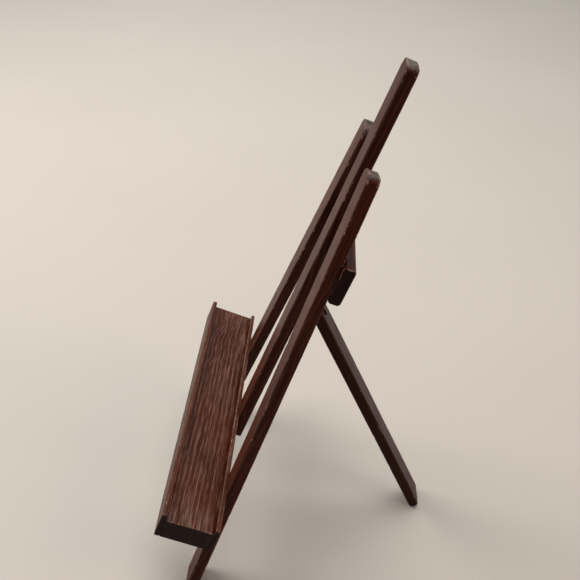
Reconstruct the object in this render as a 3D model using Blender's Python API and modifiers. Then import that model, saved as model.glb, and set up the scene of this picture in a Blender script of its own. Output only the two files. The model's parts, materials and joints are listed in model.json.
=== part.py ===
"""A tabletop easel of flat hardwood bars, in metres, +Z up, facing -Y.

The front frame is a centre mast between two splayed side legs, held by a crossbar screwed to
their backs and a lipped ledge screwed to their fronts. It leans back by LEAN. A rear leg hangs
from a small stop hinge on a block behind the mast, and stands open by OPENING.

Pieces of the front frame are placed in the frame's own axes: x across, y backwards from the
bars' front faces, z up along the mast from floor level. Pieces that swing with the rear leg are
placed from the hinge pin: y backwards out of the leg, z up along it.
"""

import math

import bmesh
import bpy
from mathutils import Matrix, Vector

MM = 0.001

# How the easel stands.
LEAN = math.radians(18.6)
SPLAY = math.radians(10.0)
OPENING = math.radians(45.0)
FOOTPRINT_CENTRE = 79.93 * MM

# All the bars are cut from one stock.
BAR = 8.0 * MM
EASED = 0.9 * MM
GAP = 0.3 * MM

MAST_WIDTH = 21.0 * MM
MAST_TOP = 376.0 * MM
SIDE_LEG_WIDTH = 21.6 * MM
SIDE_LEG_TOP = (34.95 * MM, 320.3 * MM)
SIDE_LEG_SPARE = 12.0 * MM
TOP_CORNER = 4.5 * MM

LEDGE_LENGTH = 235.0 * MM
LEDGE_UNDERSIDE = 71.0 * MM
LEDGE_TOP = 87.3 * MM
LEDGE_DEPTH = 39.0 * MM
LIP = 3.6 * MM
STRIP = 2.7 * MM
LIP_RISE = 5.0 * MM
STRIP_RISE = 3.8 * MM
LIP_ROUND = 2.2 * MM

CROSSBAR_LENGTH = 117.0 * MM
CROSSBAR_LOW = 242.6 * MM
CROSSBAR_HIGH = 269.5 * MM
CROSSBAR_ROUND = 2.6 * MM

# The stop hinge, in axes through its pin: the wood lies HINGE_STAND_OFF in front of the pin.
PIN_HEIGHT = 208.0 * MM
PIN_RADIUS = 0.75 * MM
PIN_PLAY = 0.08 * MM
BARREL_RADIUS = 1.65 * MM
HINGE_STAND_OFF = 2.0 * MM
HINGE_WIDTH = 7.4 * MM
KNUCKLE = 2.4 * MM
KNUCKLE_GAP = 0.2 * MM
LEAF_LENGTH = 13.4 * MM
LEAF_THICKNESS = 1.0 * MM
LEAF_CORNER = 2.9 * MM
NOTCH = 2.1 * MM
STOP_LENGTH = 4.1 * MM
STOP_THICKNESS = 0.8 * MM
LEAF_SCREWS = (6.0 * MM, 10.2 * MM)

REAR_LEG_WIDTH = 20.0 * MM
END_CLEARANCE = 0.8 * MM

# Countersunk screws: head radius, head height, shank radius, length.
HINGE_SCREW = (1.55 * MM, 0.85 * MM, 0.75 * MM, 7.0 * MM)
FRAME_SCREW = (2.9 * MM, 1.9 * MM, 1.4 * MM, 14.0 * MM)
LEDGE_SCREW = (2.9 * MM, 1.9 * MM, 1.4 * MM, 22.0 * MM)
HEAD_SUNK = 0.2 * MM
SCREW_PLAY = 0.15 * MM

ROUND_STEPS = 24

FRAME_BACK = 2 * BAR + GAP
PIN = Vector((0.0, FRAME_BACK + HINGE_STAND_OFF, PIN_HEIGHT))


def clear_scene():
    for obj in list(bpy.data.objects):
        bpy.data.objects.remove(obj, do_unlink=True)


def new_collection(name):
    collection = bpy.data.collections.new(name)
    bpy.context.scene.collection.children.link(collection)
    return collection


def material(name, colour, roughness, metallic=0.0):
    made = bpy.data.materials.new(name)
    made.use_nodes = True
    shader = made.node_tree.nodes["Principled BSDF"]
    shader.inputs["Base Color"].default_value = (*colour, 1.0)
    shader.inputs["Roughness"].default_value = roughness
    shader.inputs["Metallic"].default_value = metallic
    made.diffuse_color = (*colour, 1.0)
    return made


def empty(name, parent=None, location=(0.0, 0.0, 0.0), rotation=(0.0, 0.0, 0.0)):
    made = bpy.data.objects.new(name, None)
    made.empty_display_size = 20 * MM
    made.parent = parent
    made.location = location
    made.rotation_euler = rotation
    parts.objects.link(made)
    return made


def place(name, mesh, parent, location=(0.0, 0.0, 0.0), rotation=(0.0, 0.0, 0.0), look=None):
    """A visible piece when it has a material, otherwise a cutter."""
    made = bpy.data.objects.new(name, mesh)
    made.parent = parent
    made.location = location
    made.rotation_euler = rotation
    if look:
        parts.objects.link(made)
        mesh.materials.clear()
        mesh.materials.append(look)
    else:
        cutters.objects.link(made)
        made.hide_render = True
        made.display_type = "WIRE"
    return made


def block_mesh(name, low, high):
    """A rectangular block between two opposite corners."""
    low, high = Vector(low), Vector(high)
    mesh = bpy.data.meshes.new(name)
    shape = bmesh.new()
    size = Matrix.Diagonal((*(high - low), 1.0))
    bmesh.ops.create_cube(shape, size=1.0, matrix=Matrix.Translation((low + high) / 2) @ size)
    shape.to_mesh(mesh)
    shape.free()
    return mesh


def rod_mesh(name, radius, length):
    """A rod along X, centred on the origin."""
    mesh = bpy.data.meshes.new(name)
    shape = bmesh.new()
    bmesh.ops.create_cone(
        shape,
        cap_ends=True,
        segments=ROUND_STEPS,
        radius1=radius,
        radius2=radius,
        depth=length,
        matrix=Matrix.Rotation(math.pi / 2, 4, "Y"),
    )
    shape.to_mesh(mesh)
    shape.free()
    return mesh


def round_edges(mesh, radius, steps, chosen):
    """Rounds the edges of a block that `chosen` picks by their two ends."""
    shape = bmesh.new()
    shape.from_mesh(mesh)
    edges = [edge for edge in shape.edges if chosen(*(vert.co for vert in edge.verts))]
    bmesh.ops.bevel(
        shape, geom=edges, offset=radius, segments=steps, profile=0.5, affect="EDGES"
    )
    shape.to_mesh(mesh)
    shape.free()
    return mesh


def ease(piece, width=EASED, steps=2):
    """Takes the sharpness off every edge, as sandpaper does."""
    bevel = piece.modifiers.new("eased_edges", "BEVEL")
    bevel.limit_method = "ANGLE"
    bevel.angle_limit = math.radians(31)
    bevel.width = width
    bevel.segments = steps
    bevel.miter_outer = "MITER_SHARP"


def combine(piece, other, operation="DIFFERENCE"):
    step = piece.modifiers.new(other.name, "BOOLEAN")
    step.operation = operation
    step.solver = "EXACT"
    step.object = other


def smooth(piece):
    for face in piece.data.polygons:
        face.use_smooth = True


def revolved(name, profile):
    """The solid that a half profile of (radius, height) points sweeps about Z, as a mesh."""
    outline = bpy.data.meshes.new(name + "_profile")
    points = [(radius, 0.0, height) for radius, height in profile]
    outline.from_pydata(points, [(i, i + 1) for i in range(len(points) - 1)], [])
    helper = place(name + "_turning", outline, None)
    turn = helper.modifiers.new("turn", "SCREW")
    turn.steps = ROUND_STEPS
    turn.render_steps = ROUND_STEPS
    turn.use_merge_vertices = True
    turn.merge_threshold = 0.00001
    turn.use_normal_calculate = True
    turn.use_normal_flip = True
    return helper


def baked(helper, name):
    """The helper's mesh with its modifiers applied. The helper itself is removed."""
    bpy.context.view_layer.update()
    graph = bpy.context.evaluated_depsgraph_get()
    mesh = bpy.data.meshes.new_from_object(helper.evaluated_get(graph))
    mesh.name = name
    bpy.data.objects.remove(helper, do_unlink=True)
    return mesh


def screw_meshes(name, size):
    """The screw, pointing down -Z from its head at the origin, and the hole that clears it."""
    head, head_height, shank, length = size
    turning = revolved(
        name,
        (
            (0.0, -length),
            (shank * 0.25, -length + shank * 0.4),
            (shank, -length + shank * 3.0),
            (shank, -head_height),
            (head, -0.15 * MM),
            (head, 0.0),
            (0.0, 0.0),
        ),
    )
    recesses = []
    for turned in (0.0, math.pi / 2):
        arm = head * 0.62
        recess = place(
            name + "_recess",
            block_mesh(
                name + "_recess", (-arm, -head * 0.13, -head * 0.5), (arm, head * 0.13, MM)
            ),
            None,
            rotation=(0.0, 0.0, turned + math.pi / 4),
        )
        combine(turning, recess)
        recesses.append(recess)
    screw = baked(turning, name)
    for recess in recesses:
        bpy.data.objects.remove(recess, do_unlink=True)

    play = SCREW_PLAY
    hole = baked(
        revolved(
            name + "_hole",
            (
                (0.0, -length - play),
                (shank + play, -length - play),
                (shank + play, -head_height - play * 0.4),
                (head + play, -0.15 * MM + play * 0.4),
                (head + play, 2 * MM),
                (0.0, 2 * MM),
            ),
        ),
        name + "_hole",
    )
    return screw, hole


def drive(name, kind, parent, location, through, look):
    """Sets one screw, head to the back, and cuts its hole in the pieces it goes through."""
    screw, hole = kind
    facing = (-math.pi / 2, 0.0, 0.0)
    made = place(name, screw.copy(), parent, location, facing, look)
    smooth(made)
    cutter = place(name + "_hole", hole, parent, location, facing)
    for piece in through:
        combine(piece, cutter)
    return made


clear_scene()
parts = new_collection("tabletop_easel")
cutters = new_collection("cutters")

WOOD_MAST = material("stained_wood_mast", (0.072, 0.028, 0.016), 0.32)
WOOD_SIDE = material("stained_wood_side_legs", (0.066, 0.026, 0.015), 0.32)
WOOD_LEDGE = material("stained_wood_ledge", (0.080, 0.031, 0.017), 0.30)
WOOD_EDGING = material("stained_wood_edging", (0.086, 0.035, 0.020), 0.30)
WOOD_CROSSBAR = material("stained_wood_crossbar", (0.060, 0.024, 0.014), 0.34)
WOOD_REAR = material("stained_wood_rear_leg", (0.063, 0.024, 0.014), 0.34)
BRONZED = material("bronzed_brass", (0.060, 0.042, 0.026), 0.42, 1.0)
STEEL = material("blackened_steel", (0.045, 0.042, 0.040), 0.40, 1.0)

standing = empty("easel", location=(0.0, -FOOTPRINT_CENTRE, 0.0))
frame = empty("front_frame", standing, rotation=(-LEAN, 0.0, 0.0))
swing = empty("rear_leg_pivot", frame, PIN, (OPENING, 0.0, 0.0))

# The three uprights, their top corners rounded. The side legs' feet are cut level with the floor.
mast = place(
    "centre_mast",
    round_edges(
        block_mesh(
            "centre_mast",
            (-MAST_WIDTH / 2, 0.0, LEDGE_UNDERSIDE),
            (MAST_WIDTH / 2, BAR, MAST_TOP),
        ),
        TOP_CORNER,
        6,
        lambda a, b: min(a.z, b.z) > MAST_TOP - MM and abs(a.x - b.x) < MM,
    ),
    frame,
    look=WOOD_MAST,
)
ease(mast)

floor = place(
    "floor_level",
    block_mesh("floor_level", (-300 * MM, -200 * MM, -80 * MM), (300 * MM, 200 * MM, 0.0)),
    standing,
)
side_legs = {}
for side, sign in (("left", -1), ("right", 1)):
    top_x, top_z = SIDE_LEG_TOP
    length = top_z / math.cos(SPLAY) + SIDE_LEG_SPARE
    leg = place(
        "side_leg_" + side,
        round_edges(
            block_mesh(
                "side_leg_" + side,
                (-SIDE_LEG_WIDTH / 2, 0.0, -length),
                (SIDE_LEG_WIDTH / 2, BAR, 0.0),
            ),
            TOP_CORNER,
            6,
            lambda a, b: min(a.z, b.z) > -MM and abs(a.x - b.x) < MM,
        ),
        frame,
        (sign * top_x, 0.0, top_z),
        (0.0, -sign * SPLAY, 0.0),
        WOOD_SIDE,
    )
    combine(leg, floor)
    ease(leg)
    side_legs[side] = leg


def side_leg_x(height):
    """How far out a side leg's centre line is at a height up the frame."""
    return SIDE_LEG_TOP[0] + (SIDE_LEG_TOP[1] - height) * math.tan(SPLAY)


# The ledge: a board with an edging strip glued along its front and its back.
half_ledge = LEDGE_LENGTH / 2
strip = place(
    "ledge_rear_strip",
    block_mesh(
        "ledge_rear_strip",
        (-half_ledge, -GAP - STRIP, LEDGE_UNDERSIDE),
        (half_ledge, -GAP, LEDGE_TOP + STRIP_RISE),
    ),
    frame,
    look=WOOD_EDGING,
)
ease(strip, 0.7 * MM)
board = place(
    "ledge_board",
    block_mesh(
        "ledge_board",
        (-half_ledge, -LEDGE_DEPTH + LIP + GAP, LEDGE_UNDERSIDE),
        (half_ledge, -2 * GAP - STRIP, LEDGE_TOP),
    ),
    frame,
    look=WOOD_LEDGE,
)
ease(board, 0.35 * MM, 1)
lip_top = LEDGE_TOP + LIP_RISE
lip = place(
    "ledge_front_lip",
    round_edges(
        block_mesh(
            "ledge_front_lip",
            (-half_ledge, -LEDGE_DEPTH, LEDGE_UNDERSIDE),
            (half_ledge, -LEDGE_DEPTH + LIP, lip_top),
        ),
        LIP_ROUND,
        4,
        lambda a, b: min(a.z, b.z) > LEDGE_TOP and max(a.y, b.y) < -LEDGE_DEPTH + MM,
    ),
    frame,
    look=WOOD_EDGING,
)
ease(lip, 0.6 * MM)

# The crossbar lies on the uprights' backs, its long edges rounded over.
crossbar = place(
    "crossbar",
    round_edges(
        block_mesh(
            "crossbar",
            (-CROSSBAR_LENGTH / 2, BAR + GAP, CROSSBAR_LOW),
            (CROSSBAR_LENGTH / 2, FRAME_BACK, CROSSBAR_HIGH),
        ),
        CROSSBAR_ROUND,
        5,
        lambda a, b: abs(a.x - b.x) > CROSSBAR_LENGTH / 2,
    ),
    frame,
    look=WOOD_CROSSBAR,
)
ease(crossbar)

# The hinge's block fills the mast's back from the hinge up to the crossbar.
hinge_block = place(
    "hinge_block",
    block_mesh(
        "hinge_block",
        (-REAR_LEG_WIDTH / 2, BAR + GAP, PIN_HEIGHT + END_CLEARANCE),
        (REAR_LEG_WIDTH / 2, FRAME_BACK, CROSSBAR_LOW - GAP),
    ),
    frame,
    look=WOOD_REAR,
)
ease(hinge_block, 0.6 * MM)

# The rear leg reaches the floor with a foot rounded to half its thickness.
steepness = OPENING - LEAN
pin_above_floor = PIN.z * math.cos(LEAN) - PIN.y * math.sin(LEAN)
foot_round = BAR / 2
foot_centre_out = (
    pin_above_floor - foot_round - (HINGE_STAND_OFF + foot_round) * math.sin(steepness)
) / math.cos(steepness)
leg_length = foot_centre_out + foot_round
rear_leg = place(
    "rear_leg",
    round_edges(
        block_mesh(
            "rear_leg",
            (-REAR_LEG_WIDTH / 2, -HINGE_STAND_OFF - BAR, -leg_length),
            (REAR_LEG_WIDTH / 2, -HINGE_STAND_OFF, -END_CLEARANCE),
        ),
        foot_round * 0.99,
        7,
        lambda a, b: max(a.z, b.z) < -leg_length + MM and abs(a.x - b.x) > MM,
    ),
    swing,
    look=WOOD_REAR,
)
ease(rear_leg)


def leaf(name, parent, pin, up, clears):
    """A hinge leaf that runs up or down from the pin, notched to clear the other's knuckles."""
    half = HINGE_WIDTH / 2
    inner = GAP - HINGE_STAND_OFF
    low, high = sorted((-up * 0.2 * MM, up * LEAF_LENGTH))
    plate = round_edges(
        block_mesh(name, (-half, inner, low), (half, inner + LEAF_THICKNESS, high)),
        LEAF_CORNER,
        4,
        lambda a, b: up * min(a.z, b.z, key=abs) > MM and abs(a.x - b.x) < MM,
    )
    made = place(name, plate, parent, pin, look=BRONZED)
    barrel = rod_mesh(name + "_barrel", BARREL_RADIUS, HINGE_WIDTH - 0.1 * MM)
    combine(made, place(name + "_barrel", barrel, parent, pin), "UNION")
    low, high = sorted((-up * 3 * MM, up * NOTCH))
    for number, (left, right) in enumerate(clears):
        label = f"{name}_notch_{number}"
        notch = block_mesh(label, (left, -4 * MM, low), (right, 4 * MM, high))
        combine(made, place(label, notch, parent, pin))
    bore = rod_mesh(name + "_bore", PIN_RADIUS + PIN_PLAY, HINGE_WIDTH + 4 * MM)
    combine(made, place(name + "_bore", bore, parent, pin))
    return made


# The fixed leaf keeps the two outer knuckles, and the moving leaf the one between them.
here = Vector((0.0, 0.0, 0.0))
edge = HINGE_WIDTH / 2 + MM
middle = KNUCKLE / 2
leaf_fixed = leaf(
    "hinge_leaf_fixed", frame, PIN, 1, ((-middle - KNUCKLE_GAP, middle + KNUCKLE_GAP),)
)
leaf_moving = leaf("hinge_leaf_moving", swing, here, -1, ((-edge, -middle), (middle, edge)))

# A lug on the moving leaf meets the fixed leaf when the rear leg is fully open.
stop_under = GAP - HINGE_STAND_OFF + LEAF_THICKNESS + 0.15 * MM
stop_lug = block_mesh(
    "stop_lug",
    (-middle + 0.25 * MM, stop_under, PIN_RADIUS + 0.4 * MM),
    (middle - 0.25 * MM, stop_under + STOP_THICKNESS, STOP_LENGTH),
)
combine(leaf_moving, place("stop_lug", stop_lug, frame, PIN), "UNION")

pin_mesh = rod_mesh("hinge_pin", PIN_RADIUS, HINGE_WIDTH + 0.8 * MM)
hinge_pin = place("hinge_pin", pin_mesh, frame, PIN, look=STEEL)
ease(hinge_pin, 0.2 * MM, 1)

# Screws, each sunk a little below the face it is driven into.
hinge_screw = screw_meshes("hinge_screw", HINGE_SCREW)
frame_screw = screw_meshes("frame_screw", FRAME_SCREW)
ledge_screw = screw_meshes("ledge_screw", LEDGE_SCREW)

leaf_face = GAP - HINGE_STAND_OFF + LEAF_THICKNESS - 0.05 * MM
for place_name, along in zip(("lower", "upper"), LEAF_SCREWS):
    drive(
        "hinge_screw_fixed_" + place_name,
        hinge_screw,
        frame,
        PIN + Vector((0.0, leaf_face, along)),
        (leaf_fixed, hinge_block),
        STEEL,
    )
for place_name, along in zip(("upper", "lower"), LEAF_SCREWS):
    drive(
        "hinge_screw_moving_" + place_name,
        hinge_screw,
        swing,
        Vector((0.0, leaf_face, -along)),
        (leaf_moving, rear_leg),
        STEEL,
    )

block_low = PIN.z + LEAF_LENGTH
block_high = CROSSBAR_LOW - GAP
for place_name, share in (("lower", 0.3), ("upper", 0.75)):
    drive(
        "block_screw_" + place_name,
        frame_screw,
        frame,
        Vector((0.0, FRAME_BACK - HEAD_SUNK, block_low + share * (block_high - block_low))),
        (hinge_block, mast),
        STEEL,
    )

uprights = (("left", -1, side_legs["left"]), ("centre", 0, mast), ("right", 1, side_legs["right"]))
crossbar_middle = (CROSSBAR_LOW + CROSSBAR_HIGH) / 2
ledge_middle = (LEDGE_UNDERSIDE + LEDGE_TOP) / 2
for side, sign, upright in uprights:
    drive(
        "crossbar_screw_" + side,
        frame_screw,
        frame,
        Vector((sign * side_leg_x(crossbar_middle), FRAME_BACK - HEAD_SUNK, crossbar_middle)),
        (crossbar, upright),
        STEEL,
    )
    drive(
        "ledge_screw_" + side,
        ledge_screw,
        frame,
        Vector((sign * side_leg_x(ledge_middle), BAR - HEAD_SUNK, ledge_middle)),
        (upright, strip, board),
        STEEL,
    )

bpy.context.view_layer.update()
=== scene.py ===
"""Looks for the tabletop easel: dark red-brown stained hardwood with a worn lacquer, a small
bronzed hinge and blackened screws, standing on a plain pale floor."""

import json
import math

import bpy
import numpy as np
from mathutils import Matrix, Vector


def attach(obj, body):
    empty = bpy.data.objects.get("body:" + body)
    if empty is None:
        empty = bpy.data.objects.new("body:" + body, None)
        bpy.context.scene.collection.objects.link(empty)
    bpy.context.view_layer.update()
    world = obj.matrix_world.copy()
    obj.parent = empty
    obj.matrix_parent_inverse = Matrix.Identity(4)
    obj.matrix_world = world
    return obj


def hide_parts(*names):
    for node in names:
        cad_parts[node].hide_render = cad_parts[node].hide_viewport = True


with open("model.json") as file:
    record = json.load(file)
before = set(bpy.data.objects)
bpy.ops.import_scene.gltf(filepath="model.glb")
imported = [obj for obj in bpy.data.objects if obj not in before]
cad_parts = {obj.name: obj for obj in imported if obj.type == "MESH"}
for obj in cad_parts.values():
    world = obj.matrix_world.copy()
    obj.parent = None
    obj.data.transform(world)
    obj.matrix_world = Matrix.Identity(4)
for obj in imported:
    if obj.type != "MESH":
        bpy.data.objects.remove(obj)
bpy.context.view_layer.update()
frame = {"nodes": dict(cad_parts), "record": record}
nodes = frame["nodes"]

# Sizes are in millimetres, as in the CAD, and MM turns them into metres.
MM = 0.001
LEAN = math.radians(18.6)
SPLAY = math.radians(10.0)
OPENING = math.radians(45.0)
FOOTPRINT_CENTRE = 79.93

# Levels behind the fronts of the bars, and heights up the mast.
HALF_BAR = 4.0
BACK_LAYER, BACK_HALF = 12.15, 4.15
MAST_MIDDLE, MAST_HALF = 223.5, 152.5
SIDE_LEG_TOP_OUT, SIDE_LEG_TOP = 34.95, 320.3
CROSSBAR_HEIGHT = 256.05
LEDGE_HEIGHT, LEDGE_HALF_LENGTH = 79.15, 117.5
PIN_BEHIND, PIN_HEIGHT = 18.3, 208.0
# The rear leg starts this far under the pin, and its middle is this far in front of it.
LEG_UNDER_PIN, LEG_BEFORE_PIN = 0.8, 6.0
TOP_CORNER = 4.5

# Countersunk holes: the levels of the screws' heads, and the walls' radii and heights.
BACK_SCREW_LEVEL, LEDGE_SCREW_LEVEL = 16.1, 7.8
BLOCK_SCREW_HEIGHTS = (227.67, 237.075)
HOLE_PROFILE = ((1.55, -2.1), (3.05, 0.05), (3.05, 3.0))
HOLE_STEPS = 40

# The front frame's own axes: x across, y backwards, z up along the mast. SWING is the rear
# leg's, at its pin, and ACROSS lays a bar's grain along x.
FRONT = Matrix.Translation((0.0, -FOOTPRINT_CENTRE * MM, 0.0)) @ Matrix.Rotation(-LEAN, 4, "X")
AT_PIN = Matrix.Translation((0.0, PIN_BEHIND * MM, PIN_HEIGHT * MM))
SWING = FRONT @ AT_PIN @ Matrix.Rotation(OPENING, 4, "X")
ACROSS = Matrix.Rotation(math.pi / 2, 4, "Y")


def camera():
    """Stands at the right-hand end of the ledge and looks down along it."""
    data = bpy.data.cameras.new("camera")
    data.lens = 47.65
    data.sensor_width = 36.0
    data.clip_start = 0.02
    data.clip_end = 30.0
    data.dof.use_dof = False
    made = bpy.data.objects.new("camera", data)
    bpy.context.scene.collection.objects.link(made)
    place = (0.43296, -0.0081, 0.48672)
    yaw, pitch, roll = math.radians(-1.36), math.radians(33.89), math.radians(3.13)
    level = Vector((-math.cos(yaw), math.sin(yaw), 0.0))
    ahead = level * math.cos(pitch) - Vector((0.0, 0.0, math.sin(pitch)))
    right = ahead.cross(Vector((0.0, 0.0, 1.0))).normalized()
    up = right.cross(ahead)
    across = right * math.cos(roll) + up * math.sin(roll)
    above = up * math.cos(roll) - right * math.sin(roll)
    facing = Matrix((across, above, -ahead)).transposed().to_4x4()
    made.matrix_world = Matrix.Translation(place) @ facing
    bpy.context.scene.camera = made


class Tree:
    """A material's node tree, filled with short calls that each return an output."""

    # Outputs of the texture coordinate node.
    NORMAL, OBJECT = 1, 3

    def __init__(self, name):
        self.material = bpy.data.materials.new(name)
        self.material.use_nodes = True
        self.tree = self.material.node_tree
        self.shader = self.tree.nodes["Principled BSDF"]

    def add(self, kind, inputs=(), out=0, **settings):
        """Adds a node, sets or links its inputs by name or number, and returns one output."""
        node = self.tree.nodes.new("ShaderNode" + kind)
        for key, value in settings.items():
            setattr(node, key, value)
        for key, value in dict(inputs).items():
            self.put(node.inputs[key], value)
        return node.outputs[out]

    def put(self, socket, value):
        if isinstance(value, bpy.types.NodeSocket):
            self.tree.links.new(value, socket)
        else:
            socket.default_value = value

    def coordinate(self, which):
        return self.add("TexCoord", out=which)

    def math(self, operation, *values, clamp=False):
        return self.add("Math", enumerate(values), operation=operation, use_clamp=clamp)

    def vector(self, operation, *values, out=0):
        return self.add("VectorMath", enumerate(values), out=out, operation=operation)

    def step(self, value, low, high, to_low=0.0, to_high=1.0):
        """A smooth ramp of a value between two limits."""
        inputs = {0: value, 1: low, 2: high, 3: to_low, 4: to_high}
        return self.add("MapRange", inputs, interpolation_type="SMOOTHSTEP")

    def mix(self, share, a, b):
        """A blend of two colours."""
        inputs = {0: share, 6: a, 7: b}
        return self.add("Mix", inputs, out=2, data_type="RGBA", clamp_factor=True)

    def noise(self, vector, scale, detail=2.0, roughness=0.5, out=0):
        inputs = {"Vector": vector, "Scale": scale, "Detail": detail, "Roughness": roughness}
        return self.add("TexNoise", inputs, out=out)

    def drawn_out(self, vector, across, along, detail=2.0, roughness=0.5, out=0):
        """Noise of one scale across the grain and another along it."""
        stretched = self.vector("MULTIPLY", vector, (across, across, along))
        return self.noise(stretched, 1.0, detail, roughness, out)

    def bump(self, height, strength, distance):
        return self.add("Bump", {"Height": height, "Strength": strength, "Distance": distance})

    def split(self, vector):
        node = self.tree.nodes.new("ShaderNodeSeparateXYZ")
        self.tree.links.new(vector, node.inputs[0])
        return node.outputs[0], node.outputs[1], node.outputs[2]

    def finish(self, **inputs):
        for name, value in inputs.items():
            self.put(self.shader.inputs[name.replace("_", " ")], value)
        return self.material


def rgb(red, green, blue):
    return (red, green, blue, 1.0)


# Colours of the wood: the stain, what it leaves in the pores and on the ends, and what wear
# brings out.
STAIN_DARK = rgb(0.026, 0.0042, 0.0020)
STAIN = rgb(0.054, 0.0100, 0.0040)
STAIN_LIGHT = rgb(0.084, 0.0210, 0.0085)
PORE_PALE = rgb(0.165, 0.086, 0.056)
BARE = rgb(0.250, 0.165, 0.125)
END_DARK = rgb(0.008, 0.0018, 0.0010)
# Grey of the scuffs, and of the painted sheen of the overhead light on the top ends.
GREY_SCUFF_AND_SHEEN = rgb(0.132, 0.104, 0.090)

# Sizes of the grain and the wear, in metres or per metre. CREST and SCUFF are how far below
# the top end its wear starts and is full. Under CREST the wider rubbed edges are partly painted
# highlight.
RINGS = 330.0
RING_WANDER = 0.010
STREAK_WANDER = 0.0024
EDGE_WEAR = 0.0010
EDGE_FADE = 0.0002
SOFT_EDGE = 0.0014
CREST = (0.007, 0.004)
SCUFF = (0.022, 0.002)
COVERED_FADE = 0.001
# The share of a bar's half length that rings take to crowd together at its lower end.
CROWDED = 0.4


def early_wood(t, place, shifted, half, heart, tilt, sweep):
    """Where the pale early part of each growth ring is, as the bar's faces cut the rings."""
    x, y, z = place
    wander = t.drawn_out(shifted, 40.0, 9.0, 3.0)
    wander = t.math("MULTIPLY", t.math("SUBTRACT", wander, 0.5), RING_WANDER)
    rise = t.math("SUBTRACT", -(1.0 - CROWDED) * half[2], z)
    rise = t.math("MAXIMUM", t.math("DIVIDE", rise, CROWDED * half[2]), 0.0)
    crowding = t.math("MULTIPLY_ADD", t.math("MULTIPLY", rise, rise), sweep, 1.0)
    across = t.math("ADD", t.math("ADD", x, heart[0]), wander)
    below = t.math("ADD", t.math("MULTIPLY_ADD", z, tilt, y), heart[1])
    below = t.math("MULTIPLY", t.math("ADD", below, wander), crowding)
    squares = [t.math("MULTIPLY", value, value) for value in (across, below)]
    radius = t.math("SQRT", t.math("ADD", *squares))
    ring = t.math("FRACT", t.math("MULTIPLY", radius, RINGS))
    early = t.step(t.math("ABSOLUTE", t.math("SUBTRACT", ring, 0.5)), 0.18, 0.5)
    return t.math("MULTIPLY", early, t.step(rise, 0.8, 1.1, 1.0, 0.4))


def edge_wear(t, place, shifted, half, wear, crown, rubbed_half, rubbed_above):
    """Where the edges are rubbed bare, and where they are only rubbed thin."""
    x, y, z = place

    # How near the nearest edge is: the second smallest distance to the bar's faces.
    gaps = [
        t.math("SUBTRACT", size, t.math("ABSOLUTE", value))
        for size, value in zip(rubbed_half or half, place)
    ]
    small = t.math("MINIMUM", gaps[0], gaps[1])
    large = t.math("MAXIMUM", gaps[0], gaps[1])
    edge = t.math("MAXIMUM", small, t.math("MINIMUM", large, gaps[2]))

    grit = t.noise(shifted, 620.0, 3.0, 0.65)
    stretch = t.noise(shifted, 45.0, 2.0)
    # Near the top end the rubbed edges reach wider: partly real wear, partly a painted highlight
    # where the rounded corners catch the light.
    crest = t.math("MULTIPLY", t.step(z, half[2] - CREST[0], half[2] - CREST[1]), crown)
    reach = t.math("MULTIPLY_ADD", crest, 0.12, t.math("MULTIPLY_ADD", stretch, 0.8, grit))
    reach = t.step(reach, 0.98 - 0.1 * wear, 1.16)
    width = t.math("MULTIPLY_ADD", crest, EDGE_WEAR, EDGE_WEAR)
    past = t.math("SUBTRACT", t.math("MULTIPLY", reach, width), edge)
    worn = t.step(past, -EDGE_FADE, EDGE_FADE)

    # The mesh marks its own knocks, and they break up in the same grit.
    rub = t.add("Attribute", out=2, attribute_name="rub")
    nick = t.step(t.math("MULTIPLY_ADD", grit, 0.8, rub), 0.80, 1.10)
    worn = t.math("MAXIMUM", worn, nick)
    soft = t.math("MULTIPLY", t.step(edge, SOFT_EDGE, EDGE_FADE), 0.14 * wear)
    if rubbed_above is not None:
        above = t.step(x, rubbed_above + COVERED_FADE, rubbed_above - COVERED_FADE)
        worn = t.math("MULTIPLY", worn, above)
        soft = t.math("MULTIPLY", soft, above)
    return worn, soft


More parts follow.
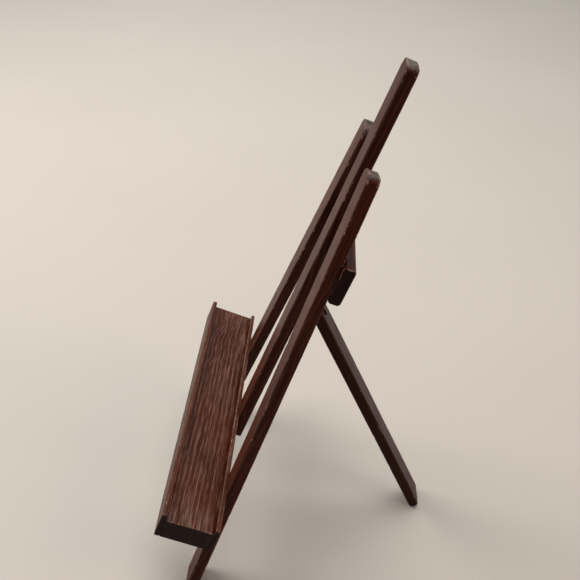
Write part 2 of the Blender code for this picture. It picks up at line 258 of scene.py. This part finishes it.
def wood(
    name,
    axes,
    half,
    seed,
    pores=0.22,
    wear=0.8,
    heart=(0.004, 0.03),
    tilt=0.04,
    sweep=0.0,
    dark=0.0,
    crown=0.0,
    scuffed=0.0,
    rubbed_half=None,
    rubbed_above=None,
):
    """Stained open-pored hardwood in the axes of one bar, whose grain runs along z.

    half is half of the bar's size, which places the wear on its edges. pores and wear are how
    much of each there is. heart is where the tree's middle was, across and below the bar, and
    tilt how the grain runs out of its face. sweep is how much the rings crowd together at the
    bar's lower end, as beside a knot. dark deepens the whole stain, as painted shade. crown is
    how much the top end's edges are rubbed, partly as painted highlight, and how much painted
    grey sheen lies on the top end. scuffed is how much the face beside that end is scuffed.
    rubbed_half stands in for half where some edges are covered, and rubbed_above is the level
    along x that the rubbing stops at: a bar laid across has x downwards.
    """
    t = Tree(name)
    mapping = {
        "Vector": t.coordinate(Tree.OBJECT),
        "Location": axes.translation,
        "Rotation": axes.to_euler(),
    }
    local = t.add("Mapping", mapping, vector_type="TEXTURE")
    shifted = t.vector("ADD", local, (seed * 0.173, seed * 0.311, seed * 0.737))
    place = t.split(local)
    z = place[2]
    early = early_wood(t, place, shifted, half, heart, tilt, sweep)
    worn, soft = edge_wear(t, place, shifted, half, wear, crown, rubbed_half, rubbed_above)

    # Pores: short fine streaks along the grain, crowded in the early wood.
    fine = t.drawn_out(shifted, 2000.0, 75.0, 2.0, 0.6)
    wave = t.drawn_out(shifted, 90.0, 70.0, 2.0, out=1)
    wave = t.vector("SUBTRACT", wave, (0.5, 0.5, 0.5))
    wave = t.vector("MULTIPLY", wave, (STREAK_WANDER, STREAK_WANDER, 0.0))
    streaks = t.drawn_out(t.vector("ADD", shifted, wave), 620.0, 26.0, 3.0, 0.65)
    patches = t.drawn_out(shifted, 70.0, 12.0, 2.0)
    pore = t.step(t.math("MULTIPLY_ADD", early, 0.13, fine), 0.57, 0.73)
    streak = t.step(t.math("MULTIPLY_ADD", patches, 0.3, streaks), 0.62, 0.84)
    line = t.math("MULTIPLY", t.step(early, 0.7, 1.0), t.step(patches, 0.35, 0.65))

    # Which way the surface faces along the grain: 1 on the top end and -1 on the other.
    normal = t.coordinate(Tree.NORMAL)
    facing = t.vector("DOT_PRODUCT", normal, axes.col[2].to_3d(), out=1)
    end = t.step(t.math("ABSOLUTE", facing), 0.55, 0.85)
    side = t.math("SUBTRACT", 1.0, end)
    # Painted sheen: grey patches on the top end, standing for the overhead light reflected
    # there.
    top_sheen = t.math("MULTIPLY_ADD", t.noise(shifted, 380.0, 3.0), 1.6, facing)
    top_sheen = t.math("MULTIPLY", t.step(top_sheen, 1.3, 2.1), crown)

    # The stain, uneven along the bar and lighter in the early wood.
    tone = t.drawn_out(shifted, 45.0, 9.0, 3.0, 0.6)
    # A bar given dark gets its whole stain deepened: painted shade.
    light = 1.0 - dark
    colour = t.mix(t.step(tone, 0.3, 0.7, 0.25 * light, light), STAIN_DARK, STAIN)
    colour = t.mix(t.math("MULTIPLY", early, 0.35 * light), colour, STAIN_LIGHT)

    # Pale pores on the sides, dark end grain, and a painted grey sheen on the top end.
    pale = t.math("MULTIPLY", line, 0.35 * pores)
    pale = t.math("MULTIPLY_ADD", pore, 0.75 * pores, pale)
    pale = t.math("MULTIPLY_ADD", streak, 0.42 * pores, pale)
    pale = t.math("MULTIPLY", pale, side, clamp=True)
    scuffs = t.math("MULTIPLY", t.step(z, half[2] - SCUFF[0], half[2] - SCUFF[1]), scuffed)
    scuffs = t.math("MULTIPLY", scuffs, t.step(streaks, 0.44, 0.60))
    colour = t.mix(pale, colour, PORE_PALE)
    colour = t.mix(scuffs, colour, GREY_SCUFF_AND_SHEEN)
    colour = t.mix(t.math("MULTIPLY", end, 0.8), colour, END_DARK)
    # Painted sheen of the overhead light on the top end.
    colour = t.mix(top_sheen, colour, GREY_SCUFF_AND_SHEEN)
    colour = t.mix(soft, colour, PORE_PALE)
    colour = t.mix(t.math("MULTIPLY", worn, 0.7), colour, BARE)

    # The lacquer is duller over the pores and gone where the wood is bare.
    gloss = t.math("MULTIPLY_ADD", t.noise(shifted, 60.0, 3.0), 0.16, 0.30)
    gloss = t.math("MULTIPLY_ADD", pore, 0.16, gloss)
    gloss = t.math("MULTIPLY_ADD", worn, 0.25, gloss, clamp=True)
    relief = t.math("MULTIPLY_ADD", pore, -0.5, t.math("MULTIPLY", streaks, 0.5))
    relief = t.math("MULTIPLY_ADD", worn, -0.5, relief)
    return t.finish(
        Base_Color=colour,
        Roughness=gloss,
        Normal=t.bump(relief, 0.4, 0.0002),
        Specular_IOR_Level=0.08,
    )


def metal(name, dark, bright, roughness):
    """Metal with a dark finish, rubbed brighter in places and finely scratched."""
    t = Tree(name)
    where = t.coordinate(Tree.OBJECT)
    rubbed = t.step(t.noise(where, 900.0, 3.0, 0.6), 0.52, 0.72)
    rough = t.math("MULTIPLY_ADD", t.noise(where, 420.0, 4.0, 0.6), 0.25, roughness)
    scratch = t.noise(t.vector("MULTIPLY", where, (600.0, 5200.0, 5200.0)), 1.0, 2.0)
    return t.finish(
        Base_Color=t.mix(rubbed, dark, bright),
        Roughness=rough,
        Normal=t.bump(scratch, 0.15, 0.0001),
        Metallic=1.0,
    )


def wear_look(piece, material):
    piece.data.materials.clear()
    piece.data.materials.append(material)


# A bar's skin is made of rings of points round its section, at stations along its grain.
ARC = 5
CAP_SCALES = (0.93, 0.8, 0.6, 0.35)
ROUNDED = 5
FOOT_ROUNDED = 10
FACE_PITCH = 2.0
THINNEST = 0.03
# How far from an end its own shape slides the points along the grain.
TOP_REACH, SOLE_REACH = 16.0, 60.0


def ring(half_x, half_y, corners, inset, wide, thin):
    """Points round a rounded rectangle, and the way each one faces.

    The corners are given anticlockwise from +x +y, and inset is how far they are drawn in. The
    flats along x and y are cut into wide and thin steps.
    """
    most = min(half_x, half_y) * 0.999
    corners = [min(max(corner - inset, 0.05), most) for corner in corners]
    signs = ((1, 1), (-1, 1), (-1, -1), (1, -1))
    centres = [
        (a * (half_x - corner), b * (half_y - corner)) for corner, (a, b) in zip(corners, signs)
    ]
    points, facing = [], []
    for number, (centre, corner) in enumerate(zip(centres, corners)):
        for part in range(ARC + 1):
            angle = math.pi / 2 * (number + part / ARC)
            way = (math.cos(angle), math.sin(angle))
            points.append([c + corner * w for c, w in zip(centre, way)])
            facing.append(way)
        start = points[-1]
        following = (number + 1) % 4
        finish = [c + corners[following] * w for c, w in zip(centres[following], way)]
        steps = (wide, thin)[number % 2]
        for part in range(1, steps):
            points.append([a + (b - a) * part / steps for a, b in zip(start, finish)])
            facing.append(way)
    return np.array(points), np.array(facing)


def stations_along(half_y, half_z, end, pitch, foot):
    """Each station's height, how far the section is drawn in, and half its thickness."""
    inner = half_z - end
    stations = []
    for part in range(FOOT_ROUNDED if foot else ROUNDED):
        if foot:
            angle = math.pi / 2 * (1.0 - part / (FOOT_ROUNDED - 1))
            thickness = max(half_y * math.cos(angle), THINNEST)
            inset = end * (1.0 - math.cos(angle)) * 0.8
            stations.append((-half_z + half_y * (1.0 - math.sin(angle)), inset, thickness))
        else:
            angle = math.pi / 2 * (1.0 - part / (ROUNDED - 1))
            inset = end * (1.0 - math.cos(angle))
            stations.append((-inner - end * math.sin(angle), inset, half_y - inset))
    low = stations[-1][0]
    count = max(2, int((inner - low) / pitch))
    for part in range(1, count):
        stations.append((low + (inner - low) * part / count, 0.0, half_y))
    for part in range(ROUNDED):
        angle = math.pi / 2 * part / (ROUNDED - 1)
        inset = end * (1.0 - math.cos(angle))
        stations.append((inner + end * math.sin(angle), inset, half_y - inset))
    return stations


def loft(half_x, half_y, corners, stations):
    """The plain bar's points, the way each one faces, and the faces, with a cap on each end."""
    wide = max(3, int(half_x * 2 / FACE_PITCH))
    thin = max(2, int(half_y * 2 / FACE_PITCH))
    rows, ways = [], []
    for height, inset, thickness in stations:
        section, facing = ring(half_x - inset, thickness, corners, inset, wide, thin)
        rows.append(np.column_stack((section, np.full(len(section), height))))
        ways.append(np.column_stack((facing, np.zeros(len(section)))))
    around = len(rows[0])

    # The caps shrink to one point, and don't move when the sides are sanded.
    caps = []
    for base in (rows[0], rows[-1]):
        centre = base.mean(axis=0)
        caps.append([centre + (base - centre) * scale for scale in CAP_SCALES])
        caps[-1].append(centre[None, :])
    still = [[np.zeros_like(row) for row in cap] for cap in caps]
    rows = caps[0][::-1] + rows + caps[1]
    ways = still[0][::-1] + ways + still[1]

    faces = []
    starts = np.cumsum([0] + [len(row) for row in rows])
    for number in range(len(rows) - 1):
        a, b = int(starts[number]), int(starts[number + 1])
        for k in range(around):
            nxt = (k + 1) % around
            if len(rows[number]) == 1:
                faces.append((a, b + nxt, b + k))
            elif len(rows[number + 1]) == 1:
                faces.append((a + k, a + nxt, b))
            else:
                faces.append((a + k, a + nxt, b + nxt, b + k))
    return np.concatenate(rows), np.concatenate(ways), faces


def smooth(share):
    return share * share * (3.0 - 2.0 * share)


def wander(values, pitch, draw):
    """Smooth random values from -1 to 1 along a length, one new one each pitch."""
    low = values.min() - pitch
    count = int((values.max() - low) / pitch) + 3
    heights = draw.uniform(-1.0, 1.0, count)
    at = (values - low) / pitch
    first = np.clip(at.astype(int), 0, count - 2)
    share = smooth(at - first)
    return heights[first] * (1.0 - share) + heights[first + 1] * share


def sanded(points, half, corners, draw):
    """How deep uneven sanding has cut: more on the corners here and there, less on the faces."""
    x, y, z = points.T
    depth = np.hypot(half[0] - np.abs(x), half[1] - np.abs(y))
    near = np.clip(1.0 - depth / (min(max(corners), 1.4) * 1.5), 0.0, 1.0)
    cut = np.zeros(len(points))
    for a in (-1, 1):
        for b in (-1, 1):
            here = (np.sign(x) == a) & (np.sign(y) == b)
            uneven = 0.5 * wander(z, 23.0, draw) + 0.5 * wander(z, 6.0, draw)
            cut += here * near * np.clip(0.06 + 0.16 * uneven, 0.0, 1.0)
    return cut + 0.05 * wander(z, 31.0, draw) * (1.0 - near) + 0.05


def knocked(points, half, nicks, top, draw):
    """How deep knocks on the edges have cut, longer along the grain, and how bare they are.

    Four more land on the corners of a shaped top.
    """
    x, y, z = points.T
    top_corners = ((1, -1), (-1, 1), (1, 1), (-1, -1)) if top else ()
    cut, rub = np.zeros(len(points)), np.zeros(len(points))
    for number in range(nicks + len(top_corners)):
        at = draw.uniform(-half[2], half[2])
        a, b = draw.choice((-1, 1), 2)
        length = draw.uniform(0.8, 3.6)
        width = draw.uniform(0.7, 1.7)
        depth = draw.uniform(0.12, 0.5)
        if number < len(top_corners):
            at = half[2] - draw.uniform(0.2, 1.4)
            a, b = top_corners[number]
            length, width = 1.2 + 0.4 * length, 1.0 + 0.9 * width
        away = ((x - a * half[0]) / width) ** 2 + ((y - b * half[1]) / width) ** 2
        bite = np.clip(1.0 - away - ((z - at) / length) ** 2, 0.0, 1.0)
        cut += depth * bite
        rub += bite * min(1.0, depth * 2.6)
    return cut, np.clip(rub, 0.0, 1.0)


def bar(
    half,
    seed,
    corners=(1.1,) * 4,
    end=0.9,
    pitch=1.0,
    foot=False,
    top=0.0,
    sole=None,
    nicks=14,
):
    """A sanded and knocked bar's vertices, faces and rub marks, in millimetres.

    half is half of its size, corners the radii of its long edges and end that of its ends.
    foot rounds its lower end to half its thickness, top is the radius of its upper end's
    corners, and sole the slopes across and backwards of a level-cut foot.
    """
    draw = np.random.RandomState(seed)
    half_x, half_y, half_z = half
    stations = stations_along(half_y, half_z, end, pitch, foot)
    points, ways, faces = loft(half_x, half_y, corners, stations)
    cut = sanded(points, half, corners, draw)
    knocks, rub = knocked(points, half, nicks, top, draw)
    points = points - ways * (cut + knocks)[:, None]

    # The ends' own shapes slide the points along the grain, less and less away from them.
    x, y, z = points.T
    if top:
        share = smooth(np.clip((z - (half_z - TOP_REACH)) / TOP_REACH, 0.0, 1.0))
        past = np.clip(np.abs(x) - (half_x - top), 0.0, top * 0.995)
        z = z - (top - np.sqrt(top**2 - past**2) + 0.5 * (x / half_x) ** 2) * share
    if sole:
        share = smooth(np.clip((-half_z + SOLE_REACH - z) / SOLE_REACH, 0.0, 1.0))
        z = z + (sole[0] * x + sole[1] * y) * share
    return np.column_stack((x, y, z)), faces, rub


def build(name, axes, skin):
    """The bar as an object at the origin, its vertices already where the axes put them."""
    points, faces, rub = skin
    turn = np.array(axes.to_3x3())
    placed = points * MM @ turn.T + np.array(axes.translation)
    mesh = bpy.data.meshes.new(name)
    mesh.from_pydata(placed.tolist(), [], faces)
    mesh.polygons.foreach_set("use_smooth", [True] * len(mesh.polygons))
    mark = mesh.attributes.new("rub", "FLOAT", "POINT")
    mark.data.foreach_set("value", rub.astype(np.float32))
    made = bpy.data.objects.new(name, mesh)
    bpy.context.scene.collection.objects.link(made)
    return made


def countersink(piece, screws):
    """Sinks holes with sloping walls into a bar's back for the heads of these screws."""
    points, faces = [], []
    for screw in screws:
        at = FRONT @ Matrix.Translation(Vector(screw) * MM)
        at = at @ Matrix.Rotation(-math.pi / 2, 4, "X")
        first = len(points)
        for radius, height in HOLE_PROFILE:
            for part in range(HOLE_STEPS):
                angle = math.tau * part / HOLE_STEPS
                spot = (radius * math.cos(angle), radius * math.sin(angle), height)
                points.append(at @ (Vector(spot) * MM))
        for row in range(len(HOLE_PROFILE) - 1):
            a = first + row * HOLE_STEPS
            b = a + HOLE_STEPS
            for part in range(HOLE_STEPS):
                nxt = (part + 1) % HOLE_STEPS
                faces.append((a + part, a + nxt, b + nxt, b + part))
        last = first + (len(HOLE_PROFILE) - 1) * HOLE_STEPS
        faces.append(tuple(range(first + HOLE_STEPS - 1, first - 1, -1)))
        faces.append(tuple(range(last, last + HOLE_STEPS)))
    mesh = bpy.data.meshes.new("countersinks")
    mesh.from_pydata(points, [], faces)
    cutter = bpy.data.objects.new("countersinks", mesh)
    bpy.context.scene.collection.objects.link(cutter)
    cut = piece.modifiers.new("countersinks", "BOOLEAN")
    cut.object = cutter
    cut.solver = "EXACT"
    bpy.context.view_layer.update()
    graph = bpy.context.evaluated_depsgraph_get()
    result = bpy.data.meshes.new_from_object(piece.evaluated_get(graph))
    piece.modifiers.clear()
    piece.data = result
    bpy.data.objects.remove(cutter)
    result.set_sharp_from_angle(angle=math.radians(40))


def axes_at(base, location, tilt=0.0, turn=None):
    made = base @ Matrix.Translation(Vector(location) * MM) @ Matrix.Rotation(tilt, 4, "Y")
    return made @ turn if turn else made


def side_leg(sign):
    """A side leg's axes, half length and sole, from its top down to the floor."""
    top = Vector((sign * SIDE_LEG_TOP_OUT, HALF_BAR, SIDE_LEG_TOP))
    down = Vector((sign * math.sin(SPLAY), 0.0, -math.cos(SPLAY)))
    floor_height = HALF_BAR * math.tan(LEAN)
    length = (top.z - floor_height) / math.cos(SPLAY)
    middle = top + down * length / 2
    sole = (-sign * math.tan(SPLAY), math.tan(LEAN) / math.cos(SPLAY))
    return axes_at(FRONT, middle, -sign * SPLAY), length / 2, sole


def rear_leg_half():
    """Half the rear leg's length: it reaches from just under the pin to the floor."""
    steepness = OPENING - LEAN
    pin_above = PIN_HEIGHT * math.cos(LEAN) - PIN_BEHIND * math.sin(LEAN)
    drop = pin_above - HALF_BAR - LEG_BEFORE_PIN * math.sin(steepness)
    length = drop / math.cos(steepness) + HALF_BAR
    return (length - LEG_UNDER_PIN) / 2


BODY_OF = {
    node: body
    for body, members in frame["record"]["behaviour"]["bodies"].items()
    for node in members
}

left_axes, leg_half, left_sole = side_leg(-1)
right_axes, leg_half, right_sole = side_leg(1)
rear_half = rear_leg_half()

# Each bar's axes, half its size, the shape of its skin and its grain. The ledge's three pieces
# meet, where the CAD leaves them a hair apart.
bars = {
    "centre_mast": (
        axes_at(FRONT, (0, HALF_BAR, MAST_MIDDLE)),
        (10.5, HALF_BAR, MAST_HALF),
        dict(top=TOP_CORNER, nicks=26),
        dict(heart=(0.004, 0.030), tilt=0.05, crown=0.7),
    ),
    "side_leg_left": (
        left_axes,
        (10.8, HALF_BAR, leg_half),
        dict(top=TOP_CORNER, sole=left_sole, nicks=26),
        dict(heart=(-0.009, 0.036), crown=0.7),
    ),
    "side_leg_right": (
        right_axes,
        (10.8, HALF_BAR, leg_half),
        dict(top=TOP_CORNER, sole=right_sole, nicks=26),
        dict(heart=(0.012, 0.028), tilt=-0.05, crown=0.7),
    ),
    "crossbar": (
        axes_at(FRONT, (0, BACK_LAYER, CROSSBAR_HEIGHT), turn=ACROSS),
        (13.45, BACK_HALF, 58.5),
        dict(corners=(2.4,) * 4, end=1.0, nicks=10),
        dict(heart=(0.003, 0.034)),
    ),
    "ledge_board": (
        axes_at(FRONT, (0, -19.27, LEDGE_HEIGHT), turn=ACROSS),
        (8.15, 16.11, LEDGE_HALF_LENGTH),
        dict(corners=(0.15,) * 4, end=0.3, nicks=0),
        dict(
            pores=0.85,
            wear=0.9,
            scuffed=0.4,
            heart=(0.014, -0.012),
            tilt=0.0,
            sweep=1.3,
            rubbed_half=(8.15 * MM, 1.0, LEDGE_HALF_LENGTH * MM),
            rubbed_above=-3 * MM,
        ),
    ),
    "ledge_front_lip": (
        axes_at(FRONT, (0, -37.2, 81.65), turn=ACROSS),
        (10.65, 1.79, LEDGE_HALF_LENGTH),
        dict(corners=(0.1, 0.5, 2.2, 0.5), end=0.4, nicks=22),
        dict(pores=0.45, wear=1.0, heart=(0.003, 0.025), rubbed_above=-7.5 * MM),
    ),
    "ledge_rear_strip": (
        axes_at(FRONT, (0, -1.575, 81.05), turn=ACROSS),
        (10.05, 1.565, LEDGE_HALF_LENGTH),
        dict(corners=(0.5, 0.6, 0.5, 0.1), end=0.4, nicks=18),
        dict(pores=0.45, wear=1.6, heart=(-0.004, 0.025), rubbed_above=-7 * MM),
    ),
    "hinge_block": (
        axes_at(FRONT, (0, BACK_LAYER, 225.69)),
        (10.0, BACK_HALF, 16.89),
        dict(corners=(0.8,) * 4, end=0.6, nicks=3),
        dict(wear=0.5),
    ),
    "rear_leg": (
        axes_at(SWING, (0, -LEG_BEFORE_PIN, -LEG_UNDER_PIN - rear_half)),
        (10.0, HALF_BAR, rear_half),
        dict(foot=True, end=1.0, nicks=20),
        # The rear leg's deeper stain is painted shade.
        dict(heart=(0.006, 0.03), dark=1.0, pores=0.12),
    ),
}
FIRST_SEED = 11


def add_bar(name, seed, axes, half, shape, grain):
    """A detailed bar in place of its CAD node."""
    piece = build(name + "_bar", axes, bar(half, seed, **shape))
    size = [value * MM for value in half]
    wear_look(piece, wood("wood_" + name, axes, size, float(seed), **grain))
    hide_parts(name)
    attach(piece, BODY_OF[name])
    return piece


pieces = {
    name: add_bar(name, seed, *settings)
    for seed, (name, settings) in enumerate(bars.items(), FIRST_SEED)
}


def leg_out(height):
    """How far out a side leg's centre line is at a height up the frame."""
    return SIDE_LEG_TOP_OUT + (SIDE_LEG_TOP - height) * math.tan(SPLAY)


crossbar_at, ledge_at = leg_out(CROSSBAR_HEIGHT), leg_out(LEDGE_HEIGHT)
countersink(
    pieces["crossbar"],
    [(x, BACK_SCREW_LEVEL, CROSSBAR_HEIGHT) for x in (-crossbar_at, 0, crossbar_at)],
)
countersink(pieces["hinge_block"], [(0, BACK_SCREW_LEVEL, z) for z in BLOCK_SCREW_HEIGHTS])
for name, x in (("centre_mast", 0), ("side_leg_left", -ledge_at), ("side_leg_right", ledge_at)):
    countersink(pieces[name], [(x, LEDGE_SCREW_LEVEL, LEDGE_HEIGHT)])

BRONZED = metal("bronzed", rgb(0.055, 0.034, 0.018), rgb(0.26, 0.16, 0.08), 0.38)
BLACKENED = metal("blackened", rgb(0.020, 0.019, 0.018), rgb(0.16, 0.15, 0.14), 0.32)
for name, node in nodes.items():
    if name.startswith("hinge_leaf"):
        wear_look(node, BRONZED)
    elif "screw" in name or name == "hinge_pin":
        wear_look(node, BLACKENED)


# Each light's place and what it aims at in metres, then its size, power and colour.
EASEL = (0.0, 0.0, 0.12)
WARM_WHITE = (1.0, 0.96, 0.91)
LIGHTS = (
    ("key", (-0.5, -1.2, 1.25), EASEL, 0.9, 20.5, WARM_WHITE),
    ("overhead", (-0.6, 0.15, 1.9), EASEL, 1.2, 19.5, WARM_WHITE),
    ("fill", (0.5, 1.3, 1.2), EASEL, 0.8, 7.0, (1.0, 0.82, 0.72)),
    ("beyond", (-1.9, -0.35, 1.6), (-1.9, -0.35, 0.0), 1.4, 16.0, (1.0, 0.97, 0.94)),
)
FLOOR_REACH = 6
FLOOR_COLOURS = (rgb(0.375, 0.35, 0.315), rgb(0.415, 0.39, 0.355))
SKY_COLOUR = rgb(0.95, 0.93, 0.90)
# The sky's strength falls from the first of these to the second between two bearings along x.
SKY_BEARINGS, SKY_STRENGTHS = (-0.3, 0.8), (0.70, 0.10)


def lay_floor():
    """A plain pale floor, far larger than the easel."""
    t = Tree("pale_floor")
    cloud = t.noise(t.coordinate(Tree.OBJECT), 3.0, 3.0)
    look = t.finish(Base_Color=t.mix(cloud, *FLOOR_COLOURS), Roughness=0.7)
    signs = ((-1, -1), (1, -1), (1, 1), (-1, 1))
    corners = [(a * FLOOR_REACH, b * FLOOR_REACH, 0) for a, b in signs]
    mesh = bpy.data.meshes.new("floor")
    mesh.from_pydata(corners, [], [(0, 1, 2, 3)])
    mesh.materials.append(look)
    floor = bpy.data.objects.new("floor", mesh)
    bpy.context.scene.collection.objects.link(floor)


def light_studio():
    """Soft light, dim on the right, behind the camera."""
    world = bpy.data.worlds.new("studio")
    bpy.context.scene.world = world
    world.use_nodes = True
    sky = world.node_tree
    background = sky.nodes["Background"]
    background.inputs["Color"].default_value = SKY_COLOUR
    parts = sky.nodes.new("ShaderNodeSeparateXYZ")
    sky.links.new(sky.nodes.new("ShaderNodeTexCoord").outputs[0], parts.inputs[0])
    ramp = sky.nodes.new("ShaderNodeMapRange")
    ramp.interpolation_type = "SMOOTHSTEP"
    for number, value in enumerate(SKY_BEARINGS + SKY_STRENGTHS, 1):
        ramp.inputs[number].default_value = value
    sky.links.new(parts.outputs[0], ramp.inputs[0])
    sky.links.new(ramp.outputs[0], background.inputs["Strength"])
    bpy.context.scene.view_settings.view_transform = "Standard"

    for name, place, target, size, power, colour in LIGHTS:
        light = bpy.data.lights.new(name, "AREA")
        light.shape = "DISK"
        light.size = size
        light.energy = power
        light.color = colour
        lamp = bpy.data.objects.new(name, light)
        lamp.location = place
        aim = Vector(target) - Vector(place)
        lamp.rotation_euler = aim.to_track_quat("-Z", "Y").to_euler()
        bpy.context.scene.collection.objects.link(lamp)


camera()
lay_floor()
light_studio()
